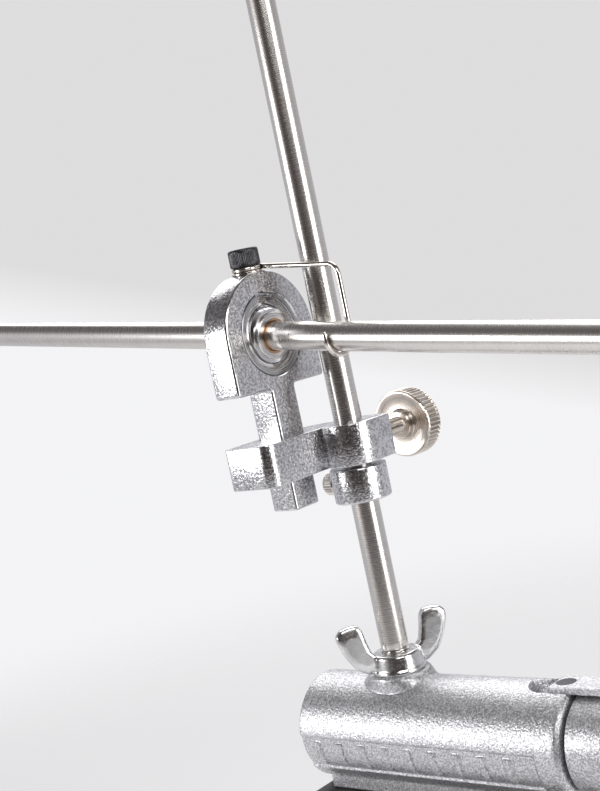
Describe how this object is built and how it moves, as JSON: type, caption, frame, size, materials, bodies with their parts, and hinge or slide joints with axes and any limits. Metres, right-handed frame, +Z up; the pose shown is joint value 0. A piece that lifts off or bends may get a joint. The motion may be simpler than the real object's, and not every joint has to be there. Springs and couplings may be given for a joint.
{
  "type": "knife honing guide",
  "caption": "Table-clamped guided-rod honing guide: flip-over blade jaws, post with sliding bracket, pivoting rod eye and sprung stone holder.",
  "frame": {"origin": "on the rubber face that rests on the table top, directly below the post's axis", "axes": "+Z up along the post, +X along the barrel towards the blade jaws"},
  "size_m": [0.5593, 0.0982, 0.415],
  "materials": {
    "cast_grey": "sandy silver-grey metallic paint on a casting",
    "black_iron": "black powder coat on cast iron",
    "rubber": "black rubber",
    "ground_steel": "ground stainless steel, brushed along its length",
    "satin_chrome": "satin chrome over a blasted casting, polished edges",
    "nickel": "bright nickel plate",
    "bearing_steel": "polished bearing steel",
    "bronze": "sintered bronze",
    "brass": "turned brass",
    "black_oxide": "black oxide on steel",
    "jaw_steel": "brushed stainless steel",
    "black_anodised": "black anodised aluminium",
    "plain_aluminium": "turned aluminium",
    "black_plastic": "black moulded plastic",
    "beech": "oiled beech"
  },
  "bodies": {
    "base": {"barrel_casting": "cast_grey", "clamp_frame": "black_iron", "foot_screws": "black_oxide", "table_pad": "rubber", "post": "ground_steel", "rear_bush": "bronze", "front_bush": "bronze", "rear_cap": "black_plastic", "spring_washer": "nickel", "index_tab": "cast_grey", "index_tab_screw": "black_oxide", "stop_pin": "ground_steel"},
    "clamp_foot": {"swivel_foot": "nickel", "foot_rubber": "rubber"},
    "clamp_screw": {"clamp_screw": "jaw_steel", "tommy_bar": "ground_steel", "bar_knobs": "black_plastic"},
    "wing_nut": {"wing_nut": "nickel"},
    "head": {"head_casting": "cast_grey", "guide_pins": "ground_steel", "jaw_spring": "nickel"},
    "upper_jaw": {"upper_jaw": "jaw_steel"},
    "jaw_screw": {"jaw_screw": "nickel"},
    "collar": {"stop_collar": "satin_chrome"},
    "collar_screw": {"collar_screw": "nickel"},
    "bracket": {"bracket": "satin_chrome", "stem_lock_screw": "black_oxide"},
    "thumb_tip": {"thumb_screw_tip": "brass"},
    "thumb_screw": {"thumb_screw": "nickel"},
    "eye": {"eye_casting": "satin_chrome", "bearing_race": "bearing_steel", "race_clip": "bearing_steel", "hook_washer": "nickel", "hook_screw": "black_oxide"},
    "rod_hook": {"rod_hook": "nickel"},
    "ball": {"bearing_ball": "bearing_steel"},
    "bush": {"rod_bush": "bronze"},
    "rod": {"guide_rod": "ground_steel", "rod_end_cap": "rubber", "spring_stop_ring": "plain_aluminium", "stone_block_front": "black_anodised", "holder_screws": "black_oxide", "stone_spring": "nickel", "handle_ferrule": "plain_aluminium", "handle_grip": "beech", "handle_cap": "plain_aluminium"},
    "stone_slider": {"stone_block_rear": "black_anodised"}
  },
  "joints": [
    {"name": "clamp_foot_travel", "type": "slide", "parent": "base", "child": "clamp_foot", "axis": [0, 0, 1], "range_m": [-0.0095, 0.04]},
    {"name": "clamp_screw_turn", "type": "hinge", "parent": "clamp_foot", "child": "clamp_screw", "pos_m": [-0.006, 0, -0.133], "axis": [0, 0, 1], "range_deg": [-1140, 4800]},
    {"name": "wing_nut_turn", "type": "hinge", "parent": "base", "child": "wing_nut", "pos_m": [0, 0, 0.0444], "axis": [0, 0, 1], "range_deg": [0, 120]},
    {"name": "head_flip", "type": "hinge", "parent": "base", "child": "head", "pos_m": [0.059, 0, 0.027], "axis": [1, 0, 0], "range_deg": [0, 180]},
    {"name": "upper_jaw_travel", "type": "slide", "parent": "head", "child": "upper_jaw", "axis": [0, 0, 1], "range_m": [-0.0028, 0.003], "deforming": ["jaw_spring"]},
    {"name": "jaw_screw_turn", "type": "hinge", "parent": "upper_jaw", "child": "jaw_screw", "pos_m": [0.098, 0, 0.036], "axis": [0, 0, 1], "range_deg": [-1008, 1080]},
    {"name": "collar_slide", "type": "slide", "parent": "base", "child": "collar", "axis": [0, 0, 1], "range_m": [-0.022, 0.14]},
    {"name": "collar_screw_turn", "type": "hinge", "parent": "collar", "child": "collar_screw", "pos_m": [-0.009, 0, 0.09945], "axis": [-1, 0, 0], "range_deg": [0, 180]},
    {"name": "bracket_swing", "type": "hinge", "parent": "collar", "child": "bracket", "pos_m": [0, 0, 0.1052], "axis": [0, 0, 1], "range_deg": [-180, 180]},
    {"name": "thumb_tip_travel", "type": "slide", "parent": "bracket", "child": "thumb_tip", "axis": [0, 1, 0], "range_m": [0, 0.0024]},
    {"name": "thumb_screw_turn", "type": "hinge", "parent": "thumb_tip", "child": "thumb_screw", "pos_m": [0, 0.0232, 0.11105], "axis": [0, 1, 0], "range_deg": [0, 1080]},
    {"name": "stem_slide", "type": "slide", "parent": "bracket", "child": "eye", "axis": [0, 0, 1], "range_m": [-0.01, 0.007]},
    {"name": "hook_yaw", "type": "hinge", "parent": "eye", "child": "rod_hook", "pos_m": [-0.01326, -0.0138, 0.1456], "axis": [0, 0, 1], "range_deg": [-20, 15]},
    {"name": "rod_lift", "type": "hinge", "parent": "rod_hook", "child": "ball", "pos_m": [-0.01326, -0.0138, 0.1456], "axis": [-0.0644, -0.9979, 0], "range_deg": [0, 18]},
    {"name": "rod_roll", "type": "hinge", "parent": "ball", "child": "bush", "pos_m": [-0.01326, -0.0138, 0.1456], "axis": [0.9904, -0.0639, -0.1222], "continuous": true},
    {"name": "rod_stroke", "type": "slide", "parent": "bush", "child": "rod", "axis": [0.9904, -0.0639, -0.1222], "range_m": [-0.07, 0.135]},
    {"name": "stone_slider_travel", "type": "slide", "parent": "rod", "child": "stone_slider", "axis": [0.9904, -0.0639, -0.1222], "range_m": [-0.006, 0.006], "deforming": ["stone_spring"]}
  ],
  "couplings": [
    {"joint": "clamp_screw_turn", "follows": "clamp_foot_travel", "rad_per_m": 2094.4},
    {"joint": "jaw_screw_turn", "follows": "upper_jaw_travel", "rad_per_m": 6283.2},
    {"joint": "thumb_screw_turn", "follows": "thumb_tip_travel", "rad_per_m": 7854}
  ]
}
